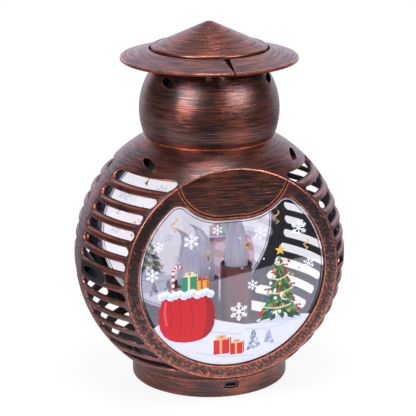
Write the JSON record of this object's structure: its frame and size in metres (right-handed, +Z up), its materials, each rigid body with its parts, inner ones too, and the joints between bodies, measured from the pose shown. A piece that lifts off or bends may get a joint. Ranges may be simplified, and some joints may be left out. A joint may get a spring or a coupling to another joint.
{
  "type": "snow globe lantern",
  "caption": "Snowman-shaped candle lantern with louvred sides, printed round windows, lamp candles inside, a charging base and a split cap brim that folds up as a handle.",
  "frame": {"origin": "centre of the base on the table, under the feet", "axes": "+Z up, -Y towards the front window with the charging socket, +X to the right of a viewer in front"},
  "size_m": [0.176, 0.1134, 0.2358],
  "materials": {
    "copper_abs": "moulded ABS, near black with dry-brushed antique copper paint",
    "copper_sleeve": "moulded ABS with brushed copper-brown paint",
    "black_abs": "moulded black ABS",
    "clear_acrylic": "clear moulded acrylic, printed on its inner face",
    "frosted_pp": "frosted polypropylene",
    "steel": "zinc-plated steel",
    "rubber": "moulded rubber",
    "board": "glass fibre circuit board",
    "plated_shell": "nickel-plated steel",
    "cell_film": "shrink film round a lithium cell",
    "switch_case": "moulded switch case",
    "wire_pvc": "PVC-covered wire"
  },
  "bodies": {
    "lantern_body": {"front_shell": "copper_abs", "rear_shell": "copper_abs", "base_housing": "copper_abs", "cap_cone": "copper_abs", "candle_sleeve_left": "copper_sleeve", "candle_sleeve_right": "copper_sleeve", "candle_sleeve_back": "copper_sleeve", "bottom_cover": "black_abs", "candle_deck": "black_abs", "cap_hub": "black_abs", "front_window": "clear_acrylic", "rear_window": "clear_acrylic", "flame_left": "frosted_pp", "flame_right": "frosted_pp", "flame_back": "frosted_pp", "shell_screws": "steel", "cover_screws": "steel", "deck_screws": "steel", "board_screws": "steel", "cap_screw": "steel", "hinge_rod_left": "steel", "hinge_rod_right": "steel", "rubber_feet": "rubber", "circuit_board": "board", "lamp_left": "board", "lamp_right": "board", "lamp_back": "board", "usb_port": "plated_shell", "battery": "cell_film", "slide_switch": "switch_case", "wiring": "wire_pvc"},
    "handle_left": {"handle_left": "copper_abs"},
    "handle_right": {"handle_right": "copper_abs"},
    "switch_knob": {"switch_knob": "black_abs"}
  },
  "joints": [
    {"name": "handle_left_fold", "type": "hinge", "parent": "lantern_body", "child": "handle_left", "pos_m": [-0.0054, 0, 0.21461], "axis": [0, 1, 0], "range_deg": [0, 85]},
    {"name": "handle_right_fold", "type": "hinge", "parent": "lantern_body", "child": "handle_right", "pos_m": [0.0054, 0, 0.21461], "axis": [0, -1, 0], "range_deg": [0, 85]},
    {"name": "switch_slide", "type": "slide", "parent": "lantern_body", "child": "switch_knob", "axis": [1, 0, 0], "range_m": [0, 0.003]}
  ]
}
